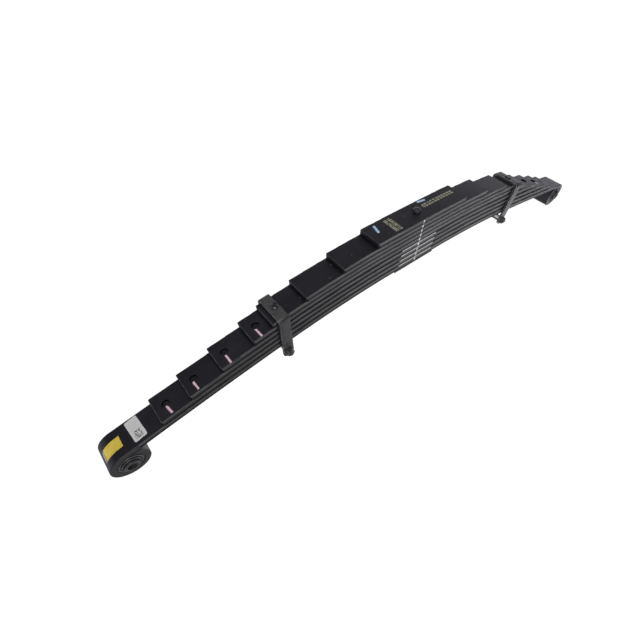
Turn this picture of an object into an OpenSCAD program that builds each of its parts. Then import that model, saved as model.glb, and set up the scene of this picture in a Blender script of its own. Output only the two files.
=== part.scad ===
// Semi-elliptic leaf spring of nine leaves, standing like an arch on its two eyes.
// Origin: the centre bolt's axis, on the outer face of the shortest leaf, where an axle seat bears.
// +X runs along the leaves, +Y across them, +Z out of the axle seat. Both halves are alike.

/* [Leaves] */
// Width of every leaf
leaf_w = 60; // [50:1:80]
// Thickness of every leaf
leaf_t = 12.5; // [9:0.5:15]
// Radius along the long edges of a leaf
edge_r = 2; // [1:0.5:4]
// Length of the flat seat in the middle of the pack
seat_l = 120; // [100:2:150]
// Radius of the inner stretch, on the underside of the main leaf
bend_r = 2450; // [1800:10:3500]
// Distance along the main leaf from the middle to where the flatter outer stretch starts
bend_s = 392; // [340:2:420]
// Radius of the outer stretch, on the underside of the main leaf
tip_r = 7400; // [4000:50:9000]
// Rounding of the leaf corners at the tips
corner_r = 4; // [1:0.5:8]

/* [Leaf ends, measured along the main leaf] */
// From the middle of the spring to the centre of an eye
eye_s = 738; // [700:2:900]
// How far the second leaf stops short of the eye centre
step_2 = 88; // [70:1:110]
// How far the third leaf stops short of the second
step_3 = 65; // [55:1:85]
// How far the fourth leaf stops short of the third
step_4 = 72; // [55:1:85]
// How far the fifth leaf stops short of the fourth
step_5 = 73; // [55:1:85]
// How far the sixth leaf stops short of the fifth
step_6 = 45; // [30:1:55]
// How far the seventh leaf stops short of the sixth
step_7 = 78; // [55:1:90]
// How far the eighth leaf stops short of the seventh
step_8 = 91; // [60:1:100]
// How far the ninth leaf stops short of the eighth
step_9 = 88; // [50:1:95]

/* [Seat] */
// Thickness of the plates that hold the five longest leaves apart
spacer_t = 2.5; // [1.5:0.5:5]
// Length of those plates
spacer_l = 112; // [80:2:120]
// Thickness of the clamp plate under the main leaf
plate_t = 4; // [3:0.5:8]
// Length of the clamp plate
plate_l = 130; // [100:2:150]
// Diameter of the centre bolt
centre_d = 12; // [8:1:14]
// Diameter of the centre bolt's round head
head_d = 17; // [16:1:24]
// Height of the straight part of that head
head_h = 6; // [4:0.5:12]
// Height of the dome on top of it
dome_h = 3; // [1:0.5:5]
// Width across the flats of the centre bolt's nut
centre_nut_af = 19; // [17:1:24]
// Height of the centre bolt's nut
centre_nut_h = 10; // [6:0.5:13]

/* [Eyes and bushes] */
// Bore of an eye
eye_d = 50; // [44:1:60]
// Gap left between the curled end of the main leaf and its own underside
eye_gap = 0.8; // [0.5:0.1:2]
// Wall of the steel shell around the rubber
shell_wall = 1.8; // [1:0.1:3]
// How far the steel shell stops short of each side of the eye
shell_inset = 1.5; // [0:0.5:4]
// Outer diameter of the inner sleeve
sleeve_d = 29; // [25:0.5:32]
// Bore of the inner sleeve, which takes the spring pin
pin_bore = 18.5; // [12:0.5:20]
// How far the inner sleeve stands out on each side of the eye
sleeve_out = 7; // [4:0.5:12]

/* [Clips] */
// Distance from the sixth leaf's tip to the middle of the clip
clip_back = 22; // [18:1:40]
// Width of the clip strap
clip_w = 24; // [20:1:30]
// Thickness of the clip strap
clip_t = 6; // [4:0.5:7]
// Gap between a leaf's edge and a clip leg
clip_gap = 1; // [0.5:0.5:3]
// Lean of the legs away from square to the leaf, in degrees
clip_lean = 3; // [0:0.5:6]
// From the underside of the main leaf down to the clip bolt
bolt_drop = 21; // [16:1:30]
// Length of leg below the clip bolt
leg_end = 13; // [11:0.5:16]
// Diameter of the clip bolt
clip_bolt_d = 10; // [8:1:12]
// Width across the flats of the clip bolt's head and nut
clip_af = 16; // [14:1:19]
// Outer diameter of the tube that keeps the legs apart
tube_d = 16; // [14:1:22]
// Diameter of the rivet that holds the clip to the sixth leaf
rivet_d = 9; // [7:1:10]
// Diameter of the rivet's head
rivet_head_d = 16; // [13:1:18]
// Height of the rivet's head
rivet_head_h = 4.5; // [3:0.5:6]

/* [Tip pads] */
// Distance from a leaf's tip to the stud of the pad below it
pad_back = 23; // [18:1:26]
// Length of a pad
pad_l = 40; // [30:1:45]
// How far a pad is narrower than the leaf on each side
pad_inset = 5; // [2:1:10]
// Diameter of a pad's stud
stud_d = 15; // [10:0.5:17]
// How far a stud stops below the face of its leaf
stud_sink = 3.5; // [1:0.5:5]
// Width of the round lead at the top of a stud
stud_lead = 1; // [0.5:0.5:2]

/* [Hidden] */

deg = 180 / PI;
cut = 1;             // how far a cutter runs past the face it cuts
bolt_clear = 0.5;    // radial clearance of a bolt in a plain hole
turn_clear = 0.05;   // radial clearance of the inner sleeve in its rubber
lap = 3;             // how far a stretch of leaf reaches into the one nearer the middle
eye_lap = 1;         // how far the main leaf reaches into the top of an eye
lap_inset = 0.02;    // how far inside the faces of the one before each stretch lies
arc_fn = 256;        // facets of a full turn on the long leaf arcs
round_fn = 96;
edge_fn = 48;

// The five longest leaves are held apart, and the others lie on each other.
leaves = 9;
spaced = 5;
pack_h = leaves * leaf_t + (spaced - 1) * spacer_t;

// Underside of leaf n, measured up from the underside of the main leaf.
function layer(n) = (n - 1) * leaf_t + min(n - 1, spaced - 1) * spacer_t;

// Half length of leaf n, measured along the main leaf.
steps = [0, 0, step_2, step_3, step_4, step_5, step_6, step_7, step_8, step_9];
function half(n) = n < 2 ? eye_s : half(n - 1) - steps[n];

// The side view is a flat seat, an arc of bend_r and then an arc of tip_r, tangent to each other.
bend_turn = (bend_s - seat_l / 2) / bend_r * deg;
bend_c = [seat_l / 2, -bend_r];
tip_c = bend_c + (bend_r - tip_r) * [sin(bend_turn), cos(bend_turn)];

// Turn of the leaf at distance s from the middle.
function turn(s) =
    s <= seat_l / 2 ? 0 :
    s <= bend_s ? (s - seat_l / 2) / bend_r * deg :
    bend_turn + (s - bend_s) / tip_r * deg;

// Point at distance s from the middle and height h above the main leaf's underside.
function spot(s, h) =
    s <= seat_l / 2 ? [s, h] :
    s <= bend_s ? bend_c + (bend_r + h) * [sin(turn(s)), cos(turn(s))] :
    tip_c + (tip_r + h) * [sin(turn(s)), cos(turn(s))];

// Eye, bush and clip values that several pieces share.
eye_r = eye_d / 2;
eye_out = eye_r + leaf_t;
tail_turn = 24;      // where the curled end of the main leaf stops, from the top of the eye
shell_r = eye_r - shell_wall;
sleeve_r = sleeve_d / 2;
sleeve_l = leaf_w + 2 * sleeve_out;
rubber_inset = 1;    // how far the rubber stops short of each side of the eye
rubber_l = leaf_w - 2 * rubber_inset;
ridge_r = 1.6;       // radius of the round ridges on the ends of the rubber
clip_s = half(6) - clip_back;
clip_top = layer(6) + leaf_t;
clip_in = leaf_w / 2 + clip_gap;
clip_out = clip_in + clip_t;
clip_bend = 3;       // inner radius of the strap's bends
clip_slope = tan(clip_lean);
leg_h = clip_top - clip_bend + bolt_drop;
bolt_x = leg_h * clip_slope;
rivet_x = -3;        // the rivet sits a little inboard of the strap's middle
clip_head_h = 6.5;
clip_nut_h = 8;
bolt_tail = 3;       // how far a bolt stands out of its nut
centre_tail = 5;
hex = 1 / cos(30);   // corners to flats of a hexagon

steel_black = "#26262b";
steel_worn = "#56545b";
zinc_grey = "#a3a19c";
rubber_black = "#1b1b1c";

// Places its children on the leaf at distance s, with +X outwards along it and +Z out of it.
module at(s, h = 0) {
    p = spot(s, h);
    translate([p.x, 0, p.y - pack_h])
        rotate([0, turn(s), 0])
            children();
}

// Places its children on the left half or the right half.
module side(left) {
    mirror([left ? 1 : 0, 0, 0]) children();
}

// Cylinder across the leaves, centred on the middle plane.
module cross_rod(r, l, fn = round_fn) {
    rotate([90, 0, 0])
        cylinder(r = r, h = l, center = true, $fn = fn);
}

// Section of a bar: thickness along X, width along Y, with rounded long edges.
module bar_section(t, w, r) {
    square([t - 2 * r, w], center = true);
    square([t, w - 2 * r], center = true);
    for (x = [-1, 1], y = [-1, 1])
        translate([x * (t / 2 - r), y * (w / 2 - r)])
            circle(r = r, $fn = edge_fn);
}

// Flat stretch of bar with its underside at height h.
module flat_bar(l, t, w, r, h) {
    translate([0, 0, h + t / 2 - pack_h])
        rotate([0, -90, 0])
            linear_extrude(l, center = true)
                bar_section(t, w, r);
}

// Stretch of bar from the local origin outwards on an arc of radius arc_r, and back by lap_l.
module arc_bar(arc_r, l, h, t, w, r, lap_l) {
    out_turn = l / arc_r * deg;
    back_turn = lap_l / arc_r * deg;
    translate([0, 0, -arc_r])
        rotate([90, 0, 0])
            rotate([0, 0, 90 - out_turn])
                rotate_extrude(angle = out_turn + back_turn, $fn = arc_fn)
                    translate([arc_r + h + t / 2, 0])
                        bar_section(t, w, r);
}

// Curved bar of one half, from distance s0 to distance s1, with its underside at height h.
// Each stretch lies lap_inset inside the faces of the one before, so that the two join cleanly.
module run(s0, s1, h, t, w, r, joined = true) {
    s2 = max(s0, bend_s);
    in1 = lap_inset;
    in2 = 2 * lap_inset;
    if (s0 < bend_s)
        at(s0)
            arc_bar(bend_r, min(s1, bend_s) - s0, h + in1, t - 2 * in1, w - 2 * in1, r,
                    joined ? lap : 0);
    if (s1 > bend_s)
        at(s2)
            arc_bar(tip_r, s1 - s2, h + in2, t - 2 * in2, w - 2 * in2, r,
                    joined || s0 < bend_s ? lap : 0);
}

// Takes the sharp corners off a leaf's tip.
module corner_cuts(n) {
    at(half(n), layer(n))
        for (m = [0, 1])
            mirror([0, m, 0])
                difference() {
                    translate([-corner_r, leaf_w / 2 - corner_r, -cut])
                        cube([corner_r + cut, corner_r + cut, leaf_t + 2 * cut]);
                    translate([-corner_r, leaf_w / 2 - corner_r, -2 * cut])
                        cylinder(r = corner_r, h = leaf_t + 4 * cut, $fn = edge_fn);
                }
}

// Hole through leaf n at distance s, moved x along the leaf.
module leaf_hole(n, s, r, x = 0) {
    at(s, layer(n))
        translate([x, 0, -cut])
            cylinder(r = r, h = leaf_t + 2 * cut, $fn = round_fn);
}

module centre_hole(h, t) {
    translate([0, 0, h - cut - pack_h])
        cylinder(r = centre_d / 2 + bolt_clear, h = t + 2 * cut, $fn = round_fn);
}

// Leaf n, with a stud hole near each tip if a pad hangs from it.
module leaf(n) {
    difference() {
        union() {
            flat_bar(seat_l, leaf_t, leaf_w, edge_r, layer(n));
            for (left = [false, true])
                side(left) run(seat_l / 2, half(n), layer(n), leaf_t, leaf_w, edge_r);
        }
        centre_hole(layer(n), leaf_t);
        for (left = [false, true])
            side(left) {
                corner_cuts(n);
                if (n <= spaced)
                    leaf_hole(n, half(n) - pad_back, stud_d / 2 + bolt_clear);
                if (n == spaced + 1)
                    leaf_hole(n, clip_s, rivet_d / 2, rivet_x);
            }
    }
}

// Eye of one half: the leaf's end curled down and back to its own underside.
module eye() {
    at(eye_s, -eye_r)
        difference() {
            rotate([90, 0, 0])
                rotate([0, 0, 90 + tail_turn])
                    rotate_extrude(angle = 360 - tail_turn, $fn = round_fn)
                        translate([eye_r + leaf_t / 2, 0])
                            bar_section(leaf_t, leaf_w, edge_r);
            translate([-eye_out - cut, -leaf_w / 2 - cut, eye_r - eye_gap])
                cube([eye_out - eye_lap, leaf_w + 2 * cut, leaf_t + eye_gap + cut]);
        }
}

module main_leaf() {
    color(steel_black)
        difference() {
            union() {
                flat_bar(seat_l, leaf_t, leaf_w, edge_r, 0);
                for (left = [false, true])
                    side(left) {
                        run(seat_l / 2, eye_s + eye_lap, 0, leaf_t, leaf_w, edge_r);
                        eye();
                    }
            }
            centre_hole(0, leaf_t);
        }
}

module short_leaf(n) {
    color(steel_black) leaf(n);
}

// Plate of length l and thickness t that lies along the seat and follows the leaf past its ends.
module seat_plate(l, t, h) {
    difference() {
        union() {
            flat_bar(min(l, seat_l), t, leaf_w, t / 4, h);
            if (l > seat_l)
                for (left = [false, true])
                    side(left) run(seat_l / 2, l / 2, h, t, leaf_w, t / 4);
        }
        centre_hole(h, t);
    }
}

// Plate between leaf n and the leaf above it.
module seat_spacer(n) {
    color(zinc_grey) seat_plate(spacer_l, spacer_t, layer(n) + leaf_t);
}

module clamp_plate() {
    color(steel_worn) seat_plate(plate_l, plate_t, -plate_t);
}

// Round-headed bolt with its head on the axle seat and its tail below the nut.
module centre_bolt() {
    shank = pack_h + plate_t + centre_nut_h + centre_tail;
    ball_r = (pow(head_d / 2, 2) + pow(dome_h, 2)) / (2 * dome_h);
    color(steel_black) {
        cylinder(d = head_d, h = head_h, $fn = round_fn);
        intersection() {
            cylinder(d = head_d, h = head_h + dome_h, $fn = round_fn);
            translate([0, 0, head_h + dome_h - ball_r])
                sphere(r = ball_r, $fn = round_fn);
        }
        translate([0, 0, -shank])
            cylinder(d = centre_d, h = shank, $fn = round_fn);
    }
}

// Hexagon nut with chamfered corners, standing on z = 0, with a bore of diameter d.
module hex_nut(af, h, d) {
    difference() {
        intersection() {
            cylinder(d = af * hex, h = h, $fn = 6);
            union() {
                translate([0, 0, h / 8])
                    cylinder(d = af * hex, h = h * 3 / 4, $fn = round_fn);
                cylinder(d1 = af * 0.97, d2 = af * hex, h = h / 8, $fn = round_fn);
                translate([0, 0, h * 7 / 8])
                    cylinder(d1 = af * hex, d2 = af * 0.97, h = h / 8, $fn = round_fn);
            }
        }
        translate([0, 0, -cut])
            cylinder(d = d, h = h + 2 * cut, $fn = round_fn);
    }
}

module centre_nut() {
    color(zinc_grey)
        translate([0, 0, -pack_h - plate_t - centre_nut_h])
            hex_nut(centre_nut_af, centre_nut_h, centre_d);
}

// Steel shell pressed into the eye.
module bush_shell(left) {
    shell_l = leaf_w - 2 * shell_inset;
    color(steel_worn)
        side(left)
            at(eye_s, -eye_r)
                difference() {
                    cross_rod(eye_r, shell_l);
                    cross_rod(shell_r, shell_l + 2 * cut);
                }
}

// Rubber bonded inside the shell, with round ridges on its ends.
module bush_rubber(left) {
    bore_r = sleeve_r + turn_clear;
    inner_ridge = bore_r + ridge_r;
    outer_ridge = shell_r - ridge_r;
    color(rubber_black)
        side(left)
            at(eye_s, -eye_r)
                rotate([90, 0, 0])
                    rotate_extrude($fn = round_fn) {
                        translate([bore_r, -rubber_l / 2])
                            square([shell_r - bore_r, rubber_l]);
                        for (y = [-1, 1]) {
                            translate([inner_ridge, y * (rubber_l / 2 + ridge_r)])
                                circle(r = ridge_r, $fn = edge_fn);
                            translate([bore_r, y * (rubber_l / 2 + ridge_r / 2) - ridge_r / 2])
                                square([2 * ridge_r, ridge_r]);
                            translate([outer_ridge, y * rubber_l / 2])
                                circle(r = ridge_r, $fn = edge_fn);
                        }
                    }
}

// Inner sleeve of a bush, which turns with the spring pin.
module bush_sleeve(left) {
    lead = 1.5;
    color(steel_worn)
        side(left)
            at(eye_s, -eye_r)
                rotate([90, 0, 0])
                    rotate_extrude($fn = round_fn)
                        polygon([
                            [pin_bore / 2, -sleeve_l / 2],
                            [sleeve_r - lead, -sleeve_l / 2],
                            [sleeve_r, -sleeve_l / 2 + lead],
                            [sleeve_r, sleeve_l / 2 - lead],
                            [sleeve_r - lead, sleeve_l / 2],
                            [pin_bore / 2, sleeve_l / 2]
                        ]);
}

// Outline of the strap across the leaves: a bridge, two bends and the start of each leg.
module strap_outline() {
    bend_y = clip_in - clip_bend;
    translate([-bend_y, 0])
        square([2 * bend_y, clip_t]);
    for (m = [0, 1])
        mirror([m, 0])
            translate([bend_y, -clip_bend])
                intersection() {
                    difference() {
                        circle(r = clip_bend + clip_t, $fn = round_fn);
                        circle(r = clip_bend, $fn = round_fn);
                    }
                    square(clip_bend + clip_t);
                }
}

// Leg outline in side view, with z = 0 at the lower end of the bend.
module leg_outline() {
    foot_r = 5;
    w = clip_w / 2;
    tip = leg_h + leg_end;
    x = tip * clip_slope;
    polygon([
        [-w, 0], [w, 0],
        [w + x, foot_r - tip], [w + x - foot_r, -tip],
        [foot_r - w + x, -tip], [x - w, foot_r - tip]
    ]);
}

// Inverted U strap: its bridge lies on the sixth leaf and its legs reach past the main leaf.
module clip_strap(left) {
    color(steel_worn)
        side(left)
            at(clip_s, clip_top)
                difference() {
                    union() {
                        rotate([90, 0, 90])
                            linear_extrude(clip_w, center = true)
                                strap_outline();
                        for (m = [0, 1])
                            mirror([0, m, 0])
                                translate([0, clip_out, -clip_bend])
                                    rotate([90, 0, 0])
                                        linear_extrude(clip_t)
                                            leg_outline();
                    }
                    translate([rivet_x, 0, -cut])
                        cylinder(d = rivet_d, h = clip_t + 2 * cut, $fn = round_fn);
                    translate([bolt_x, 0, -clip_bend - leg_h])
                        cross_rod(clip_bolt_d / 2 + bolt_clear, 2 * clip_out + 2 * cut);
                }
}

// Places its children at the middle of a clip bolt, with +Y along the bolt.
module at_clip_bolt(left) {
    side(left)
        at(clip_s, clip_top)
            translate([bolt_x, 0, -clip_bend - leg_h])
                children();
}

// Tube around the clip bolt that keeps the legs apart.
module clip_tube(left) {
    color(steel_worn)
        at_clip_bolt(left)
            difference() {
                cross_rod(tube_d / 2, 2 * clip_in);
                cross_rod(clip_bolt_d / 2 + bolt_clear, 2 * clip_in + 2 * cut);
            }
}

// Rivet with a round, dimpled head on the clip and a shank that ends flush under the sixth leaf.
module clip_rivet(left) {
    dimple = 1.5;
    lead = 1.5;
    color(steel_worn)
        side(left)
            at(clip_s, layer(6))
                translate([rivet_x, 0, 0])
                    difference() {
                        union() {
                            cylinder(d = rivet_d, h = leaf_t + clip_t, $fn = round_fn);
                            translate([0, 0, leaf_t + clip_t]) {
                                cylinder(d = rivet_head_d, h = rivet_head_h - lead, $fn = round_fn);
                                translate([0, 0, rivet_head_h - lead])
                                    cylinder(d1 = rivet_head_d, d2 = rivet_head_d - 2 * lead,
                                             h = lead, $fn = round_fn);
                            }
                        }
                        translate([0, 0, leaf_t + clip_t + rivet_head_h - dimple])
                            cylinder(d1 = rivet_d / 2, d2 = rivet_d * 0.8,
                                     h = dimple + cut, $fn = round_fn);
                    }
}

module clip_rivets() {
    for (left = [false, true])
        clip_rivet(left);
}

// Clip bolt: its head on the far leg and its tail through the nut on the near leg.
module clip_bolts() {
    for (left = [false, true])
        color(steel_worn)
            at_clip_bolt(left) {
                translate([0, clip_out, 0])
                    rotate([-90, 0, 0])
                        cylinder(d = clip_af * hex, h = clip_head_h, $fn = 6);
                translate([0, clip_out, 0])
                    rotate([90, 0, 0])
                        cylinder(d = clip_bolt_d, h = 2 * clip_out + clip_nut_h + bolt_tail, $fn = round_fn);
            }
}

module clip_nuts() {
    for (left = [false, true])
        color(steel_worn)
            at_clip_bolt(left)
                translate([0, -clip_out, 0])
                    rotate([90, 0, 0])
                        hex_nut(clip_af, clip_nut_h, clip_bolt_d);
}

// Pad under the tip of leaf n, held by a stud in the leaf's hole.
module tip_pad(n, left) {
    pad_w = leaf_w - 2 * pad_inset;
    mid = half(n) - pad_back;
    stud_h = spacer_t / 2 + leaf_t - stud_sink - stud_lead;
    color(rubber_black)
        side(left) {
            run(mid - pad_l / 2, mid + pad_l / 2, layer(n) - spacer_t, spacer_t, pad_w,
                spacer_t / 4, false);
            at(mid, layer(n) - spacer_t / 2) {
                cylinder(d = stud_d, h = stud_h, $fn = round_fn);
                translate([0, 0, stud_h])
                    cylinder(d1 = stud_d, d2 = stud_d - 2 * stud_lead, h = stud_lead, $fn = round_fn);
            }
        }
}

main_leaf();
short_leaf(2);  // second_leaf
short_leaf(3);  // third_leaf
short_leaf(4);  // fourth_leaf
short_leaf(5);  // fifth_leaf
short_leaf(6);  // sixth_leaf
short_leaf(7);  // seventh_leaf
short_leaf(8);  // eighth_leaf
short_leaf(9);  // ninth_leaf
seat_spacer(1);  // seat_spacer_1
seat_spacer(2);  // seat_spacer_2
seat_spacer(3);  // seat_spacer_3
seat_spacer(4);  // seat_spacer_4
clamp_plate();
centre_bolt();
centre_nut();
bush_shell(true);  // bush_shell_left
bush_rubber(true);  // bush_rubber_left
bush_sleeve(true);  // bush_sleeve_left
bush_shell(false);  // bush_shell_right
bush_rubber(false);  // bush_rubber_right
bush_sleeve(false);  // bush_sleeve_right
clip_strap(true);  // clip_strap_left
clip_strap(false);  // clip_strap_right
clip_tube(true);  // clip_tube_left
clip_tube(false);  // clip_tube_right
clip_rivets();
clip_bolts();
clip_nuts();
tip_pad(2, true);  // tip_pad_2_left
tip_pad(3, true);  // tip_pad_3_left
tip_pad(4, true);  // tip_pad_4_left
tip_pad(5, true);  // tip_pad_5_left
tip_pad(2, false);  // tip_pad_2_right
tip_pad(3, false);  // tip_pad_3_right
tip_pad(4, false);  // tip_pad_4_right
tip_pad(5, false);  // tip_pad_5_right
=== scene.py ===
"""A painted nine-leaf spring on a white studio floor."""
from math import atan2, cos, radians, sin

import bpy
from mathutils import Matrix, Vector


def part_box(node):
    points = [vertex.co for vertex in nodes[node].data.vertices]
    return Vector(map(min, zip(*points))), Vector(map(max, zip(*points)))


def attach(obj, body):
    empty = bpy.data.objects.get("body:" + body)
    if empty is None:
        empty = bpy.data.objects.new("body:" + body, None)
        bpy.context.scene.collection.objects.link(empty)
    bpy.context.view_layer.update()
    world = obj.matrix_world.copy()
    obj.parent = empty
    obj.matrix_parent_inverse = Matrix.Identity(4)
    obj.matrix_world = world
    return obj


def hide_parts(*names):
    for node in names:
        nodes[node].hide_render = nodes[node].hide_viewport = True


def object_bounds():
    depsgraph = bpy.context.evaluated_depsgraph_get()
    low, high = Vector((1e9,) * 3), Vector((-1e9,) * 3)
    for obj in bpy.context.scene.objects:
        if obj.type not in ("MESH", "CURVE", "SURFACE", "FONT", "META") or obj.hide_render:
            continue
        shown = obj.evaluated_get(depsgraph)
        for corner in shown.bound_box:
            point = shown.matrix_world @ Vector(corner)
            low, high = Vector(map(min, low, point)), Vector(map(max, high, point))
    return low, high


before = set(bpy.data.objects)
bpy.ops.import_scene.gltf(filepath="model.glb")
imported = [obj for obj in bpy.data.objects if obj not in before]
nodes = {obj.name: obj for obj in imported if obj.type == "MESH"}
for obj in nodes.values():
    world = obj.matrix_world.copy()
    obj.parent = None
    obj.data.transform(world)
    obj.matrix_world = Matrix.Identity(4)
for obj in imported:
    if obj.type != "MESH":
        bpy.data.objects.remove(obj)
cad_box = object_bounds()

MM = 0.001
LEAVES = ["main_leaf", "second_leaf", "third_leaf", "fourth_leaf", "fifth_leaf",
          "sixth_leaf", "seventh_leaf", "eighth_leaf", "ninth_leaf"]
LEAF_W = 60 * MM
SIDE_FROM = LEAF_W / 2 - 1.6 * MM   # distance from the middle of a leaf to its side's paint
LEAF_T = 12.5 * MM
SPACERS = 4                  # spacers at the seat, and leaves above the main one that carry pads
SPACER_T = 2.5 * MM          # gap between neighbours among the five longest leaves
EYE_R = 37.5 * MM            # outside of an eye
STUD_BACK = 23 * MM          # from a leaf's tip to the stud in it
CLIP_HEAD_FLATS = 16 * MM
CLIP_THREAD_FROM = 30 * MM   # from the middle of a clip bolt to its thread
CENTRE_HEAD_H = 6 * MM       # straight part of the centre bolt's head
SIDES = ("left", "right")
SHADE = (0.0015, 0.0015, 0.0017)    # colour of a groove that no light gets into

# The main leaf's underside on one half: centre x, centre z and radius of its two arcs, and where
# the outer one takes over.
INNER_ARC = (0.06, -2.5725, 2.45)
OUTER_ARC = (-0.6087, -7.4771, 7.4)
OUTER_FROM = 391 * MM
STRAIGHT_TO = 700 * MM       # where the main leaf starts to curl

# Inspector's pink strokes beside the studs: leaf, end of the spring, then the stroke's two ends,
# each as a distance outwards from the stud and a distance across the leaf.
PINK_STROKES = {
    ("second_leaf", "left"): ((2, -3), (-2, -24)),
    ("third_leaf", "left"): ((4, -3), (2.5, -25)),
    ("fourth_leaf", "left"): ((2, -5), (2, -28)),
    ("fifth_leaf", "left"): ((4, -6), (3, -28)),
    ("third_leaf", "right"): ((0, -6), (0, -20)),
    ("fifth_leaf", "right"): ((0, -2), (3, -16)),
}
PINK_W = 4.2 * MM

# Blue-rimmed strokes on the shortest leaf, as two ends each: x and y.
BLUE_STROKES = (((-111, 21), (-117, -2)), ((27, 24), (50, 20.5)))
BLUE_W = 6.5 * MM

# Fields of printed dashes on the shortest leaf: x from and to, y from and to, and the pitch of the
# dashes along the leaf and across it.
KHAKI_FIELDS = ((-86, -63, -22, 20, 11.5, 4.8), (24, 130, 0, 13, 9.6, 6.5))
KHAKI_CELL = 2.4 * MM        # size of the bits that the dashes have lost

# Stripe down the near side of the pack.
STRIPE_X = -7 * MM
STRIPE_LEAN = 0.055          # how far it drifts to the right for each metre down
STRIPE_W = 4 * MM

# Small knocks in the paint: leaf, then x and y of each.
DENTS = {"ninth_leaf": ((-36, 5), (-102, -17), (-97, 8)), "eighth_leaf": ((-196, -7), (205, 10)),
         "seventh_leaf": ((-238, 7), (-262, -19)), "sixth_leaf": ((-330, -12), (322, 6))}
DENT_SPAN = (3, 1)           # from one end of a knock to the other
DENT_W = 2.2 * MM
TIP_HIGHLIGHT_W = 1.5 * MM           # width of the painted highlight along a tip

# Paper label on the main leaf: its middle, its size, and how far it leans from square.
LABEL_AT = (-692 * MM, 3 * MM)
LABEL_SIZE = (25 * MM, 47.5 * MM)
LABEL_CORNER = 3 * MM
LABEL_LEAN = radians(4.5)
LABEL_DOT = 1.5 * MM         # side of a square in the block of dots
LABEL_LINE = 3 * MM          # pitch of the bars

# Tape on the left eye: how far it reaches inboard of the curl and round it, its two edges, and how
# far its ends are out of line.
TAPE_INBOARD = 12.5 * MM
TAPE_ROUND = radians(47)
TAPE_EDGES = (-10.5 * MM, 13 * MM)
TAPE_SKEW = -4 * MM
STICKER_LIFT = 0.12 * MM     # from the steel to the middle of a sticker
STICKER_T = 0.2 * MM

# Where the studio's camera stands and how it is turned.
LENS = 22.24
CAMERA_AT = (-0.6373, -0.4193, 0.5204)
CAMERA_TURN = (38.598, -2.391, -38.82)

# Brightness of the studio's walls, from straight below at 0 to straight above at 1.
WALL_LIGHT = ((0.0, 0.34), (0.12, 0.4), (0.19, 1.15), (0.42, 1.15), (0.6, 0.95), (0.65, 0.6),
              (0.69, 0.18), (0.9, 0.165))


# ---------------------------------------------------------------- selecting and finishing pieces

def clear_selection():
    bpy.ops.object.select_all(action="DESELECT")


def only(piece):
    """Selects one piece and makes it the active one."""
    clear_selection()
    piece.select_set(True)
    bpy.context.view_layer.objects.active = piece


def edit_all(piece):
    only(piece)
    bpy.ops.object.mode_set(mode="EDIT")
    bpy.ops.mesh.select_all(action="SELECT")


def leave_edit():
    bpy.ops.object.mode_set(mode="OBJECT")


def apply_modifier(piece, kind, **settings):
    only(piece)
    modifier = piece.modifiers.new(kind.lower(), kind)
    for key, value in settings.items():
        setattr(modifier, key, value)
    bpy.ops.object.modifier_apply(modifier=modifier.name)


def settle(piece, place=None):
    """Puts a piece where a matrix says and leaves that place in its mesh."""
    if place is not None:
        piece.matrix_world = place
    only(piece)
    bpy.ops.object.transform_apply(location=True, rotation=True, scale=True)


def smooth(piece, angle=35):
    only(piece)
    bpy.ops.object.shade_smooth_by_angle(angle=radians(angle))


def fit_out(piece, name, finish, stands_for=()):
    """Names a finished piece, gives it its material and fastens it to the pack."""
    piece.name = name
    piece.data.materials.clear()
    piece.data.materials.append(finish.material)
    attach(piece, "spring")
    if stands_for:
        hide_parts(*stands_for)


# ---------------------------------------------------------------- places on the spring

def surface_point(node, x, y):
    """Point and normal where a plumb line at x, y first meets a node, from above."""
    down = Vector((0, 0, -1))
    hit, place, normal, _ = nodes[node].ray_cast(Vector((x, y, 0)) - down, down)
    if not hit:
        raise ValueError(f"{node} is not at {x}, {y}")
    return place, normal


def leaf_point(leaf, x, y):
    """Point on a leaf's upper face, also over a stud hole, because a leaf is flat across."""
    place, normal = surface_point(leaf, x, LEAF_W / 3)
    place.y = y
    return place, normal


def eye_centre(side):
    low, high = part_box(f"bush_sleeve_{side}")
    return (low + high) / 2


def lie_on(place, normal, along):
    """Matrix that puts +X along a direction and +Z along a normal, at a place."""
    z = normal.normalized()
    y = z.cross(along).normalized()
    x = y.cross(z)
    axes = Matrix((x, y, z)).transposed().to_4x4()
    return Matrix.Translation(place) @ axes


# ---------------------------------------------------------------- studio

def make_camera():
    data = bpy.data.cameras.new("camera")
    data.sensor_width = 36
    data.lens = LENS
    data.clip_start = 0.01
    camera = bpy.data.objects.new("camera", data)
    bpy.context.scene.collection.objects.link(camera)
    camera.location = CAMERA_AT
    camera.rotation_euler = [radians(angle) for angle in CAMERA_TURN]
    bpy.context.scene.camera = camera


def softbox(name, place, target, width, height, power):
    data = bpy.data.lights.new(name, "AREA")
    data.shape = "RECTANGLE"
    data.size = width
    data.size_y = height
    data.energy = power
    lamp = bpy.data.objects.new(name, data)
    bpy.context.scene.collection.objects.link(lamp)
    lamp.location = place
    lamp.rotation_euler = (Vector(target) - Vector(place)).to_track_quat("-Z", "Y").to_euler()


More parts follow.
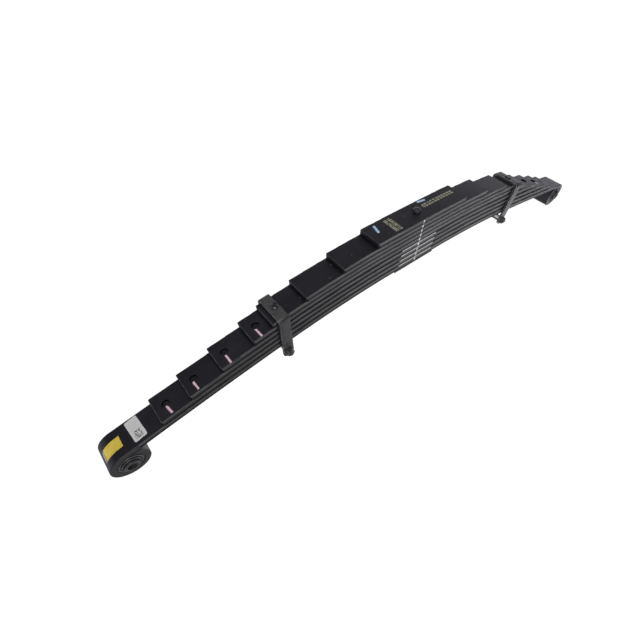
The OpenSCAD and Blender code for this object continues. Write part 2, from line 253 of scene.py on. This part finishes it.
def make_world():
    """A room that is dark overhead, in front and to the left, and bright behind and low down."""
    world = bpy.data.worlds.new("studio")
    world.use_nodes = True
    bpy.context.scene.world = world
    tree = world.node_tree
    tree.nodes.clear()
    link = tree.links.new

    def new(kind):
        return tree.nodes.new(kind)

    def spread(value, low, high, out_low, out_high):
        node = new("ShaderNodeMapRange")
        for socket, number in zip(node.inputs[1:5], (low, high, out_low, out_high)):
            socket.default_value = number
        link(value, node.inputs[0])
        return node.outputs[0]

    def product(a, b):
        node = new("ShaderNodeVectorMath")
        node.operation = "MULTIPLY"
        link(a, node.inputs[0])
        link(b, node.inputs[1])
        return node.outputs[0]

    way = new("ShaderNodeSeparateXYZ")
    link(new("ShaderNodeTexCoord").outputs["Generated"], way.inputs[0])
    ramp = new("ShaderNodeValToRGB")
    stops = ramp.color_ramp.elements
    while len(stops) < len(WALL_LIGHT):
        stops.new(0.5)
    for stop, (place, light) in zip(stops, WALL_LIGHT):
        stop.position = place
        stop.color = (light, light * 0.98, light * 1.06, 1)
    link(spread(way.outputs["Z"], -1, 1, 0, 1), ramp.inputs[0])
    left = spread(way.outputs["X"], -0.4, 0.35, 0.42, 1)
    front = new("ShaderNodeMath")
    front.operation = "MAXIMUM"
    link(spread(way.outputs["Y"], -0.3, 0.2, 0.16, 1), front.inputs[0])
    link(spread(way.outputs["Z"], -0.45, -0.25, 1, 0.16), front.inputs[1])

    light = new("ShaderNodeBackground")
    link(product(product(ramp.outputs[0], left), front.outputs[0]), light.inputs["Color"])
    backdrop = new("ShaderNodeBackground")
    backdrop.inputs["Color"].default_value = (1, 1, 1, 1)
    seen = new("ShaderNodeMixShader")
    link(new("ShaderNodeLightPath").outputs["Is Camera Ray"], seen.inputs[0])
    link(light.outputs[0], seen.inputs[1])
    link(backdrop.outputs[0], seen.inputs[2])
    link(seen.outputs[0], new("ShaderNodeOutputWorld").inputs[0])


def make_floor():
    """A white sweep that lights itself, so that it leaves no shadow edge round the eyes."""
    clear_selection()
    bpy.ops.mesh.primitive_plane_add(size=16, location=(0, 0, cad_box[0][2]))
    floor = bpy.context.object
    floor.name = "floor"
    floor.visible_glossy = False
    mat = bpy.data.materials.new("white_floor")
    mat.use_nodes = True
    shader = mat.node_tree.nodes["Principled BSDF"]
    shader.inputs["Base Color"].default_value = (0.1, 0.1, 0.1, 1)
    shader.inputs["Roughness"].default_value = 1
    shader.inputs["Emission Color"].default_value = (1, 1, 1, 1)
    shader.inputs["Emission Strength"].default_value = 1.0
    underneath = mat.node_tree.nodes.new("ShaderNodeNewGeometry").outputs["Backfacing"]
    see_through = mat.node_tree.nodes.new("ShaderNodeBsdfTransparent")
    both = mat.node_tree.nodes.new("ShaderNodeMixShader")
    link = mat.node_tree.links.new
    link(underneath, both.inputs[0])
    link(shader.outputs[0], both.inputs[1])
    link(see_through.outputs[0], both.inputs[2])
    link(both.outputs[0], mat.node_tree.nodes["Material Output"].inputs[0])
    floor.data.materials.append(mat)


# ---------------------------------------------------------------- finishes

class Finish:
    """A material in the making. Its methods add nodes and return their output sockets."""

    def __init__(self, name, colour, roughness, metallic=0.0):
        self.material = bpy.data.materials.new(name)
        self.material.use_nodes = True
        self.tree = self.material.node_tree
        self.shader = self.tree.nodes["Principled BSDF"]
        self.shader.inputs["Base Color"].default_value = (*colour, 1)
        self.shader.inputs["Roughness"].default_value = roughness
        self.shader.inputs["Metallic"].default_value = metallic
        self.coords = self.tree.nodes.new("ShaderNodeTexCoord").outputs["Object"]

    def feed(self, socket, value):
        if isinstance(value, bpy.types.NodeSocket):
            self.tree.links.new(value, socket)
        else:
            socket.default_value = value

    def maths(self, operation, a, b=0.0):
        node = self.tree.nodes.new("ShaderNodeMath")
        node.operation = operation
        self.feed(node.inputs[0], a)
        self.feed(node.inputs[1], b)
        return node.outputs[0]

    def stretched(self, stretch=(1, 1, 1), place=(0, 0, 0), turn=(0, 0, 0), kind="POINT"):
        node = self.tree.nodes.new("ShaderNodeMapping")
        node.vector_type = kind
        node.inputs["Location"].default_value = place
        node.inputs["Rotation"].default_value = turn
        node.inputs["Scale"].default_value = stretch
        self.feed(node.inputs["Vector"], self.coords)
        return node.outputs[0]

    def noise(self, scale, detail=3.0, coords=None):
        node = self.tree.nodes.new("ShaderNodeTexNoise")
        node.inputs["Scale"].default_value = scale
        node.inputs["Detail"].default_value = detail
        node.inputs["Roughness"].default_value = 0.55
        self.feed(node.inputs["Vector"], coords or self.coords)
        return node.outputs["Fac"]

    def both(self, first, second):
        """Mask of where two masks overlap."""
        return self.maths("MULTIPLY", first, second)

    def spread(self, value, low, high, out_low=0.0, out_high=1.0):
        """Rescales a value, and holds it inside the new range."""
        node = self.tree.nodes.new("ShaderNodeMapRange")
        node.clamp = True
        for socket, number in zip(node.inputs[1:5], (low, high, out_low, out_high)):
            socket.default_value = number
        self.feed(node.inputs[0], value)
        return node.outputs[0]

    def mix(self, mask, first, second):
        node = self.tree.nodes.new("ShaderNodeMix")
        node.data_type = "RGBA"
        sockets = (node.inputs[0], node.inputs[6], node.inputs[7])
        for socket, value in zip(sockets, (mask, first, second)):
            if isinstance(value, tuple):
                value = (*value, 1)
            self.feed(socket, value)
        return node.outputs[2]

    def mix_number(self, mask, first, second):
        node = self.tree.nodes.new("ShaderNodeMix")
        for socket, value in zip(node.inputs[:1] + node.inputs[2:4], (mask, first, second)):
            self.feed(socket, value)
        return node.outputs[0]

    def split(self, coords):
        node = self.tree.nodes.new("ShaderNodeSeparateXYZ")
        self.feed(node.inputs[0], coords)
        return node.outputs

    def bump(self, height, strength, distance):
        node = self.tree.nodes.new("ShaderNodeBump")
        node.inputs["Strength"].default_value = strength
        node.inputs["Distance"].default_value = distance
        before = self.shader.inputs["Normal"].links
        if before:
            self.tree.links.new(before[0].from_socket, node.inputs["Normal"])
        self.feed(node.inputs["Height"], height)
        self.tree.links.new(node.outputs[0], self.shader.inputs["Normal"])

    def colour(self, value):
        self.feed(self.shader.inputs["Base Color"], value)

    def roughness(self, value):
        self.feed(self.shader.inputs["Roughness"], value)

    def shine(self, value):
        self.feed(self.shader.inputs["Specular IOR Level"], value)

    def stroke(self, place, turn, length, width, ragged=0.3):
        """Mask of a brush stroke with ragged ends, on the surface at a place, turned to lie on it."""
        x, y, z = self.split(self.stretched(place=place, turn=turn, kind="TEXTURE"))
        wobble = self.maths("SUBTRACT", self.noise(260), 0.5)
        wobble = self.maths("MULTIPLY", wobble, ragged * width * 2)
        inside = self.both(self.near_zero(self.maths("ADD", x, wobble), length / 2),
                           self.near_zero(self.maths("ADD", y, wobble), width / 2))
        return self.both(inside, self.near_zero(z, 4 * MM))

    def near_zero(self, value, reach):
        """Mask of where a value is closer to zero than a reach."""
        return self.maths("LESS_THAN", self.maths("ABSOLUTE", value), reach)

    def rounded(self, radius):
        """Softens the sharp edges of the node under the finish, before any bump."""
        node = self.tree.nodes.new("ShaderNodeBevel")
        node.samples = 4
        node.inputs["Radius"].default_value = radius
        self.tree.links.new(node.outputs[0], self.shader.inputs["Normal"])

    def facing(self):
        return self.tree.nodes.new("ShaderNodeNewGeometry").outputs["Normal"]

    def hollow(self, reach):
        """Mask of the grooves and corners that little light gets into."""
        node = self.tree.nodes.new("ShaderNodeAmbientOcclusion")
        node.samples = 6
        node.inputs["Distance"].default_value = reach
        return self.spread(node.outputs["AO"], 0.35, 0.85, 1, 0)

    def height_faced(self):
        """How far up the surface faces, from -1 to 1."""
        return self.split(self.facing())[2]

    def pack_height(self):
        """Height above the main leaf's underside, measured square to the curve of the leaves."""
        x, _, z = self.split(self.coords)
        out = self.maths("ABSOLUTE", x)
        heights = []
        for centre_x, centre_z, radius in (INNER_ARC, OUTER_ARC):
            across = self.maths("MAXIMUM", self.maths("SUBTRACT", out, centre_x), 0)
            up = self.maths("SUBTRACT", z, centre_z)
            squares = self.maths("ADD", self.maths("MULTIPLY", across, across),
                                 self.maths("MULTIPLY", up, up))
            heights.append(self.maths("SUBTRACT", self.maths("SQRT", squares), radius))
        return self.mix_number(self.maths("GREATER_THAN", out, OUTER_FROM), *heights)

    def cells(self, coords, size):
        """A random number for each square cell of a grid."""
        snap = self.tree.nodes.new("ShaderNodeVectorMath")
        snap.operation = "SNAP"
        self.feed(snap.inputs[0], coords)
        snap.inputs[1].default_value = (size, size, 1)
        grain = self.tree.nodes.new("ShaderNodeTexWhiteNoise")
        self.feed(grain.inputs["Vector"], snap.outputs[0])
        return grain.outputs["Value"]

    def within(self, value, low, high):
        """Mask of where a value lies between two numbers."""
        return self.both(self.maths("GREATER_THAN", value, low), self.maths("LESS_THAN", value, high))


# ---------------------------------------------------------------- paint marks

def stroke_between(paint, first, last, width, leaf, ragged=0.3):
    """Mask of a stroke that runs from one point of a leaf's upper face to another."""
    start, normal = leaf_point(leaf, *first)
    end, _ = leaf_point(leaf, *last)
    lie = lie_on((start + end) / 2, normal, end - start)
    return paint.stroke(lie.translation, lie.to_euler(), (end - start).length, width, ragged)


def tip_x(leaf, side):
    low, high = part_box(leaf)
    return low.x if side == "left" else high.x


def outwards(side):
    return -1 if side == "left" else 1


def pink_stroke(paint, body, leaf, side):
    """Pale pink brush stroke with a thin magenta rim, from the stud towards the near side."""
    ends = PINK_STROKES[leaf, side]
    way = outwards(side)
    stud = tip_x(leaf, side) - way * STUD_BACK
    first, last = [(stud + way * x * MM, y * MM) for x, y in ends]
    for width, tint in ((PINK_W * 1.25, (0.32, 0.09, 0.2)), (PINK_W * 0.85, (1.0, 0.8, 0.89))):
        body = paint.mix(stroke_between(paint, first, last, width, leaf), body, tint)
    return body


def blue_stroke(paint, body, ends):
    """White brush stroke with a blue rim."""
    first, last = [(x * MM, y * MM) for x, y in ends]
    for width, tint in ((BLUE_W * 1.3, (0.02, 0.16, 0.42)), (BLUE_W * 0.75, (0.75, 0.9, 1.0))):
        body = paint.mix(stroke_between(paint, first, last, width, "ninth_leaf", 0.2), body, tint)
    return body


def khaki_marks(paint, body):
    """Two fields of short printed dashes on the shortest leaf, with no letters among them."""
    x, y, z = paint.split(paint.coords)
    top = paint.maths("GREATER_THAN", z, -3 * MM)
    grain = paint.spread(paint.noise(900, 2), 0.34, 0.5)
    for x0, x1, y0, y1, dash_x, dash_y in KHAKI_FIELDS:
        inside = paint.both(paint.within(x, x0 * MM, x1 * MM), paint.within(y, y0 * MM, y1 * MM))
        ticks_x = paint.maths("PINGPONG", paint.maths("SUBTRACT", x, x0 * MM), dash_x / 2 * MM)
        ticks_y = paint.maths("PINGPONG", paint.maths("SUBTRACT", y, y0 * MM), dash_y / 2 * MM)
        drawn = paint.both(paint.maths("GREATER_THAN", ticks_x, dash_x * 0.11 * MM),
                           paint.maths("GREATER_THAN", ticks_y, dash_y * 0.13 * MM))
        broken = paint.maths("GREATER_THAN", paint.cells(paint.coords, KHAKI_CELL), 0.16)
        mask = paint.both(paint.both(inside, top), paint.both(drawn, broken))
        body = paint.mix(paint.both(mask, grain), body, (0.56, 0.56, 0.4))
    return body


def dents(paint, body, leaf):
    """Small bright knocks in the paint."""
    for x, y in DENTS.get(leaf, ()):
        first = (x * MM, y * MM)
        last = ((x + DENT_SPAN[0]) * MM, (y + DENT_SPAN[1]) * MM)
        knock = stroke_between(paint, first, last, DENT_W, leaf, 0.5)
        body = paint.mix(knock, body, (0.1, 0.1, 0.115))
    return body


def tip_highlights(paint, body, leaf):
    """Painted highlight: grey line along a leaf's left tip, where light catches the corner."""
    x = paint.split(paint.coords)[0]
    near = paint.both(paint.maths("LESS_THAN", x, tip_x(leaf, "left") + TIP_HIGHLIGHT_W),
                      paint.maths("GREATER_THAN", paint.height_faced(), 0.2))
    patchy = paint.both(near, paint.spread(paint.noise(85, 4), 0.35, 0.55, 0.1, 0.8))
    return paint.mix(patchy, body, (0.11, 0.108, 0.112))


def centre_stripe(paint, body):
    """White stripe painted down the near side of the pack at its middle."""
    x, y, z = paint.split(paint.coords)
    wobble = paint.maths("MULTIPLY", paint.maths("SUBTRACT", paint.noise(160), 0.5), 2 * MM)
    middle = paint.maths("SUBTRACT", STRIPE_X, paint.maths("MULTIPLY", z, STRIPE_LEAN))
    off = paint.maths("ADD", paint.maths("SUBTRACT", x, middle), wobble)
    mask = paint.both(paint.near_zero(off, STRIPE_W / 2),
                      paint.maths("LESS_THAN", y, -LEAF_W / 2 + 0.4 * MM))
    cover = paint.spread(paint.noise(420, 2), 0.3, 0.42)
    return paint.mix(paint.both(mask, cover), body, (0.9, 0.9, 0.88))


# ---------------------------------------------------------------- finishes of this spring

def leaf_paint(name):
    """Satin black paint over rolled bar. Its sides are greyer, with a painted highlight along the top
    and painted shade below.

    Gives back the finish, its colour so far and the mask of where little light gets in.
    """
    paint = Finish(f"{name}_paint", (0.014, 0.0135, 0.0165), 0.4)
    paint.rounded(0.9 * MM)
    cloud = paint.noise(9, 4)
    streaks = paint.noise(60, 5, coords=paint.stretched((0.12, 1, 5)))
    scale = paint.noise(34, 6, coords=paint.stretched((0.5, 1, 1)))
    specks = paint.spread(paint.noise(520, 2), 0.68, 0.76)
    x, y, _ = paint.split(paint.coords)
    side = paint.maths("GREATER_THAN", paint.maths("ABSOLUTE", y), SIDE_FROM)
    number = LEAVES.index(name)
    top = (number + 1) * LEAF_T + min(number, SPACERS) * SPACER_T
    depth = paint.maths("SUBTRACT", top, paint.pack_height())
    straight = paint.both(side, paint.maths("LESS_THAN", depth, LEAF_T + 1 * MM))
    straight = paint.both(straight, paint.within(x, -STRAIGHT_TO, STRAIGHT_TO))
    lower = paint.both(straight, paint.spread(depth, 5.5 * MM, 7.5 * MM))

    face = paint.mix(cloud, (0.0125, 0.0115, 0.0165), (0.0195, 0.0185, 0.0245))
    face = paint.mix(paint.spread(scale, 0.5, 0.75), face, (0.024, 0.0225, 0.0275))
    edge = paint.mix(streaks, (0.008, 0.0078, 0.008), (0.034, 0.032, 0.032))
    body = paint.mix(side, face, edge)
    # Painted highlight along the top of each side's straight part, fainter to the left, where less
    # light falls.
    rub_and_highlight = paint.both(straight, paint.spread(depth, 1.6 * MM, 3.2 * MM, 1, 0))
    rub_and_highlight = paint.both(rub_and_highlight, paint.spread(streaks, 0.35, 0.6, 0.25, 0.9))
    rub_and_highlight = paint.both(rub_and_highlight, paint.spread(x, -0.45, 0, 0.25, 1))
    body = paint.mix(rub_and_highlight, body, (0.26, 0.254, 0.256))
    body = paint.mix(paint.both(specks, 0.5), body, (0.07, 0.068, 0.066))

    # Painted shade: the lower half of each side's straight part and the grooves that little light gets
    # into, darker and less shiny.
    painted_shade = paint.maths("MAXIMUM", paint.both(lower, 0.9), paint.hollow(9 * MM))
    paint.shine(paint.mix_number(painted_shade, 0.55, 0.04))
    patchy = paint.spread(cloud, 0.3, 0.7, 0.32, 0.46)
    paint.roughness(paint.mix_number(side, patchy, paint.spread(streaks, 0.3, 0.7, 0.3, 0.52)))
    paint.bump(paint.noise(700, 2), 0.1, 0.0004)
    paint.bump(scale, 0.12, 0.0012)
    return paint, body, paint.both(painted_shade, 0.85)


def strap_finish():
    """Black paint that is mottled grey on the legs, and rubbed bare along its edges, with a painted
    highlight there.
    """
    strap = Finish("strap_paint", (0.03, 0.03, 0.032), 0.4)
    mottle = strap.noise(95, 6)
    leg = strap.spread(strap.maths("ABSOLUTE", strap.split(strap.coords)[1]), 28 * MM, 37 * MM)
    plain = strap.mix(mottle, (0.06, 0.06, 0.062), (0.12, 0.116, 0.118))
    rub_and_highlight = strap.mix(strap.spread(mottle, 0.34, 0.66), (0.01, 0.0095, 0.011), (0.048, 0.046, 0.05))
    body = strap.mix(leg, plain, rub_and_highlight)
    endwise = strap.maths("ABSOLUTE", strap.split(strap.facing())[0])
    # Painted highlight on the bare steel of the edges that face the ends.
    bare_and_highlight = strap.both(strap.within(endwise, 0.35, 0.93),
                      strap.spread(strap.noise(60, 4), 0.3, 0.5, 0.6, 1))
    strap.colour(strap.mix(bare_and_highlight, body, (0.98, 0.97, 0.95)))
    strap.roughness(strap.spread(mottle, 0.3, 0.7, 0.28, 0.46))
    strap.bump(mottle, 0.25, 0.0012)
    strap.bump(strap.noise(600, 2), 0.12, 0.0004)
    return strap


def bolt_finish():
    """Dark oiled steel with paler, scuffed patches."""
    steel = Finish("dark_steel", (0.03, 0.03, 0.033), 0.3, 0.6)
    patches = steel.noise(180, 4)
    steel.colour(steel.mix(steel.spread(patches, 0.4, 0.7), (0.035, 0.035, 0.038), (0.24, 0.236, 0.24)))
    steel.roughness(steel.spread(patches, 0.3, 0.7, 0.22, 0.42))
    steel.bump(patches, 0.12, 0.0006)
    return steel


def plate_finish():
    """Pale zinc sheet with a fine cloud."""
    plate = Finish("zinc_sheet", (0.6, 0.6, 0.59), 0.42, 0.2)
    spangle = plate.noise(140, 4)
    plate.colour(plate.mix(spangle, (0.5, 0.5, 0.495), (0.85, 0.85, 0.84)))
    plate.roughness(plate.spread(spangle, 0.3, 0.7, 0.3, 0.5))
    plate.bump(spangle, 0.1, 0.0005)
    return plate


def rubber_finish():
    """Black rubber with a grey bloom, and painted shade between its ridges."""
    rubber = Finish("black_rubber", (0.02, 0.02, 0.021), 0.45)
    bloom = rubber.noise(70, 5)
    body = rubber.mix(bloom, (0.04, 0.04, 0.042), (0.1, 0.1, 0.104))
    groove_shade = rubber.hollow(4 * MM)
    # Painted shade: near black where little light gets in between the ridges.
    rubber.colour(rubber.mix(groove_shade, body, (0.002, 0.002, 0.002)))
    rubber.shine(rubber.mix_number(groove_shade, 0.7, 0.1))
    rubber.roughness(rubber.spread(bloom, 0.3, 0.7, 0.24, 0.42))
    rubber.bump(rubber.noise(420, 3), 0.2, 0.0005)
    return rubber


def bush_finish():
    """Phosphated steel, with painted shade where it is recessed."""
    bush = Finish("bush_steel", (0.03, 0.03, 0.032), 0.32, 0.5)
    cloud = bush.noise(120, 4)
    body = bush.mix(cloud, (0.03, 0.03, 0.032), (0.14, 0.14, 0.144))
    # Painted shade: near black where little light gets into the recesses.
    bush.colour(bush.mix(bush.hollow(4 * MM), body, (0.002, 0.002, 0.002)))
    bush.roughness(bush.spread(cloud, 0.3, 0.7, 0.24, 0.4))
    bush.bump(bush.noise(500, 2), 0.1, 0.0004)
    return bush


def pad_finish(name):
    """Black nylon with a faint moulded grain."""
    pad = Finish(name, (0.012, 0.012, 0.013), 0.5)
    grain = pad.noise(800, 3)
    body = pad.mix(grain, (0.008, 0.008, 0.009), (0.016, 0.016, 0.017))
    pad.roughness(pad.spread(grain, 0.3, 0.7, 0.42, 0.6))
    pad.bump(grain, 0.25, 0.0004)
    return pad, body


def label_finish(place):
    """White paper label with a small block of random grey squares and a few short bars."""
    paper = Finish("label_paper", (0.86, 0.86, 0.85), 0.5)
    flat = paper.stretched(place=place.translation, turn=place.to_euler(), kind="TEXTURE")
    x, y, _ = paper.split(flat)
    body = paper.mix(paper.noise(40, 3), (0.84, 0.84, 0.83), (0.9, 0.9, 0.89))
    block = paper.both(paper.within(x, -7.5 * MM, 6.5 * MM), paper.within(y, -20 * MM, -3 * MM))
    dots = paper.maths("GREATER_THAN", paper.cells(flat, LABEL_DOT), 0.5)
    body = paper.mix(paper.both(block, paper.both(dots, 0.85)), body, (0.1, 0.1, 0.1))
    bars = paper.both(paper.within(x, -9 * MM, 9 * MM), paper.within(y, 0, 18 * MM))
    lines = paper.maths("GREATER_THAN", paper.maths("PINGPONG", y, LABEL_LINE / 2), 1.15 * MM)
    broken = paper.maths("GREATER_THAN", paper.cells(flat, LABEL_LINE), 0.5)
    ink = paper.both(paper.both(bars, lines), paper.both(broken, 0.3))
    paper.colour(paper.mix(ink, body, (0.3, 0.3, 0.3)))
    paper.bump(paper.noise(300, 2), 0.08, 0.0003)
    return paper


def tape_finish(side):
    """Yellow tape, a little orange where it is rubbed, and smeared blue at its lower end."""
    tape = Finish("yellow_tape", (0.9, 0.62, 0.03), 0.45)
    wear = tape.noise(75, 5)
    body = tape.mix(tape.spread(wear, 0.35, 0.75), (0.98, 0.78, 0.12), (0.9, 0.6, 0.05))
    x, _, z = tape.split(tape.coords)
    centre = eye_centre(side)
    low_end = tape.both(tape.maths("LESS_THAN", z, centre.z + 25.5 * MM),
                        tape.maths("LESS_THAN", x, centre.x - 20 * MM))
    smear = tape.both(low_end, tape.spread(tape.noise(160, 3), 0.34, 0.5))
    tape.colour(tape.mix(smear, body, (0.16, 0.3, 0.42)))
    tape.bump(wear, 0.15, 0.0006)
    return tape


def dress(node, finish):
    """Gives a node one material all over."""
    nodes[node].data.materials.clear()
    nodes[node].data.materials.append(finish.material)


# ---------------------------------------------------------------- the leaves

def dress_leaves():
    for name in LEAVES:
        paint, body, shade = leaf_paint(name)
        for leaf, side in PINK_STROKES:
            if leaf == name:
                body = pink_stroke(paint, body, leaf, side)
        if name == "ninth_leaf":
            for ends in BLUE_STROKES:
                body = blue_stroke(paint, body, ends)
            body = khaki_marks(paint, body)
        if name != "main_leaf":
            body = tip_highlights(paint, body, name)
        body = dents(paint, body, name)
        # Painted shade over the grooves and the lower half of the sides, in the colour SHADE.
        paint.colour(paint.mix(shade, centre_stripe(paint, body), SHADE))
        dress(name, paint)


def dress_pads():
    """The pads' studs take the start of the inspector's strokes."""
    for number, leaf in enumerate(LEAVES[1:1 + SPACERS], start=2):
        for side in SIDES:
            pad, body = pad_finish(f"pad_{number}_{side}_nylon")
            if (leaf, side) in PINK_STROKES:
                body = pink_stroke(pad, body, leaf, side)
            pad.colour(body)
            dress(f"tip_pad_{number}_{side}", pad)


# ---------------------------------------------------------------- clips, bolts and bushes

def eased_copy(node, name, width, finish, segments=3):
    """Copy of a node with its sharp edges rounded, which is shown in the node's place."""
    only(nodes[node])
    bpy.ops.object.duplicate()
    piece = bpy.context.object
    edit_all(piece)
    bpy.ops.mesh.remove_doubles(threshold=0.01 * MM)
    bpy.ops.mesh.dissolve_limited(angle_limit=radians(0.5))
    leave_edit()
    apply_modifier(piece, "BEVEL", width=width, segments=segments, limit_method="ANGLE",
                   angle_limit=radians(40), miter_outer="MITER_ARC", use_clamp_overlap=True)
    smooth(piece)
    fit_out(piece, name, finish, stands_for=(node,))


def turned(steps, sides=48):
    """Closed solid turned about +Z: its profile is a list of radius and height, upwards."""
    clear_selection()
    radius, height = steps[0]
    bpy.ops.mesh.primitive_circle_add(vertices=sides, radius=radius, fill_type="NGON",
                                      location=(0, 0, height))
    piece = bpy.context.object
    settle(piece)
    edit_all(piece)
    bpy.ops.mesh.flip_normals()
    for next_radius, next_height in steps[1:]:
        bpy.ops.mesh.extrude_region_move(
            TRANSFORM_OT_translate={"value": (0, 0, next_height - height)})
        if next_radius != radius:
            grow = next_radius / radius
            bpy.ops.transform.resize(value=(grow, grow, 1), center_override=(0, 0, next_height))
        radius, height = next_radius, next_height
    bpy.ops.mesh.select_all(action="SELECT")
    bpy.ops.mesh.normals_make_consistent(inside=False)
    leave_edit()
    return piece


def thread_steps(radius, low, high, pitch=1.5 * MM):
    """Profile of a thread: ridges of one pitch from a low to a high end."""
    turns = int((high - low) / pitch)
    root = radius - 0.6 * pitch
    steps = []
    for turn in range(turns):
        start = low + turn * pitch
        steps += [(root, start), (radius, start + 0.4 * pitch), (radius, start + 0.55 * pitch)]
    return steps + [(root, low + turns * pitch), (root - 0.5 * MM, high)]


def join(pieces):
    only(pieces[0])
    for piece in pieces[1:]:
        piece.select_set(True)
    bpy.ops.object.join()
    return pieces[0]


def hex_head(flats, low, high):
    """Hexagon head with its outer face chamfered."""
    corner = flats / 2 / cos(radians(30))
    lip = 0.8 * MM
    head = turned([(corner, low), (corner, high - lip), (corner - 1.2 * lip, high)], sides=6)
    apply_modifier(head, "BEVEL", width=0.4 * MM, segments=2, limit_method="ANGLE",
                   angle_limit=radians(20))
    return head


def make_clip_bolts(finish):
    """Both clip bolts: a head on the far leg, a plain shank, and a thread through the near nut."""
    low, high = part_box("clip_bolts")
    _, far_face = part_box("clip_strap_left")
    radius = 5 * MM
    parts = []
    for side in SIDES:
        tube_low, tube_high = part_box(f"clip_tube_{side}")
        centre = (tube_low + tube_high) / 2
        centre.y = 0
        plain = [(radius, -far_face.y - 1 * MM), (radius, CLIP_THREAD_FROM)]
        shank = turned(plain + thread_steps(radius, CLIP_THREAD_FROM, -low.y), sides=32)
        head = hex_head(CLIP_HEAD_FLATS, far_face.y, high.y)
        for part, way in ((shank, 90), (head, -90)):
            settle(part, Matrix.Translation(centre) @ Matrix.Rotation(radians(way), 4, "X"))
            parts.append(part)
    bolts = join(parts)
    smooth(bolts)
    fit_out(bolts, "clip_bolt_pair", finish, stands_for=("clip_bolts",))


def make_centre_bolt(finish):
    """Round-headed bolt through the pack, threaded below the clamp plate."""
    low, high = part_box("centre_bolt")
    _, nut_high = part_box("centre_nut")
    radius = 6 * MM
    head_r = (high.x - low.x) / 2
    dome_low = CENTRE_HEAD_H
    dome_h = high.z - dome_low
    dome = [(head_r * cos(radians(a)), dome_low + dome_h * sin(radians(a))) for a in range(10, 90, 10)]
    plain = [(radius, nut_high.z + 6 * MM), (radius, 1 * MM)]
    shank = turned(thread_steps(radius, low.z, nut_high.z + 5 * MM) + plain, sides=32)
    head = turned([(head_r, 0), (head_r, dome_low)] + dome + [(0.3 * MM, high.z)])
    bolt = join([shank, head])
    smooth(bolt)
    fit_out(bolt, "round_headed_centre_bolt", finish, stands_for=("centre_bolt",))


def make_fittings():
    strap = strap_finish()
    steel = bolt_finish()
    for side in SIDES:
        eased_copy(f"clip_strap_{side}", f"bent_clip_strap_{side}", 1.1 * MM, strap)
        dress(f"clip_tube_{side}", strap)
    eased_copy("clamp_plate", "rounded_clamp_plate", 0.5 * MM, strap, 2)
    for name in ("centre_nut", "clip_rivets", "clip_nuts"):
        dress(name, steel)
    make_clip_bolts(steel)
    make_centre_bolt(steel)
    plate = plate_finish()
    for number in range(1, SPACERS + 1):
        dress(f"seat_spacer_{number}", plate)
    rubber = rubber_finish()
    bush = bush_finish()
    for side in SIDES:
        dress(f"bush_rubber_{side}", rubber)
        dress(f"bush_shell_{side}", bush)
        dress(f"bush_sleeve_{side}", bush)


# ---------------------------------------------------------------- stickers

def make_label():
    """Paper label with rounded corners on the top of the main leaf, close to the left eye."""
    place, normal = leaf_point("main_leaf", *LABEL_AT)
    lie = lie_on(place + normal * STICKER_LIFT, normal, Vector((cos(LABEL_LEAN), sin(LABEL_LEAN), 0)))
    clear_selection()
    bpy.ops.mesh.primitive_plane_add(size=1)
    label = bpy.context.object
    label.scale = (*LABEL_SIZE, 1)
    settle(label)
    edit_all(label)
    bpy.ops.mesh.bevel(offset=LABEL_CORNER, segments=6, affect="VERTICES")
    leave_edit()
    apply_modifier(label, "SOLIDIFY", thickness=STICKER_T, offset=0)
    settle(label, lie)
    fit_out(label, "paper_label", label_finish(lie))


def make_tape():
    """Strip of tape from the top of the main leaf round the outer curve of the left eye."""
    centre = eye_centre("left")
    _, top = surface_point("main_leaf", centre.x, 0)
    start = atan2(-top.x, top.z)
    end = start + TAPE_ROUND
    low, high = TAPE_EDGES
    clear_selection()
    bpy.ops.mesh.primitive_cylinder_add(
        vertices=180, radius=EYE_R + STICKER_LIFT, depth=high - low, end_fill_type="NOTHING",
        location=(centre.x, (low + high) / 2, centre.z), rotation=(radians(90), 0, 0))
    tape = bpy.context.object
    settle(tape)
    for angle, cleared in ((start, "clear_inner"), (end, "clear_outer")):
        edit_all(tape)
        across = (-cos(angle), 0, -sin(angle))
        bpy.ops.mesh.bisect(plane_co=centre, plane_no=across, **{cleared: True})
        leave_edit()
    edge = Vector((centre.x - EYE_R * sin(start), 0, centre.z + EYE_R * cos(start)))
    along = Vector((cos(start), 0, sin(start)))
    edit_all(tape)
    bpy.ops.mesh.select_all(action="DESELECT")
    leave_edit()
    for vertex in tape.data.vertices:
        vertex.select = abs((vertex.co - edge).dot(along)) < 0.1 * MM
    for side in tape.data.edges:
        side.select = all(tape.data.vertices[i].select for i in side.vertices)
    only(tape)
    bpy.ops.object.mode_set(mode="EDIT")
    bpy.ops.mesh.extrude_region_move(TRANSFORM_OT_translate={"value": along * TAPE_INBOARD})
    leave_edit()
    for vertex in tape.data.vertices:
        sweep = centre.x + TAPE_INBOARD - vertex.co.x
        vertex.co.y += TAPE_SKEW * sweep / (EYE_R + TAPE_INBOARD)
    apply_modifier(tape, "SOLIDIFY", thickness=STICKER_T, offset=0)
    smooth(tape)
    fit_out(tape, "yellow_tape", tape_finish("left"))


make_camera()
make_world()
make_floor()
softbox("key", (-1.2, -1.6, 2.4), (0, 0, -0.1), 2.5, 2.5, 60)
dress_leaves()
dress_pads()
make_fittings()
make_label()
make_tape()
bpy.context.scene.view_settings.view_transform = "Standard"
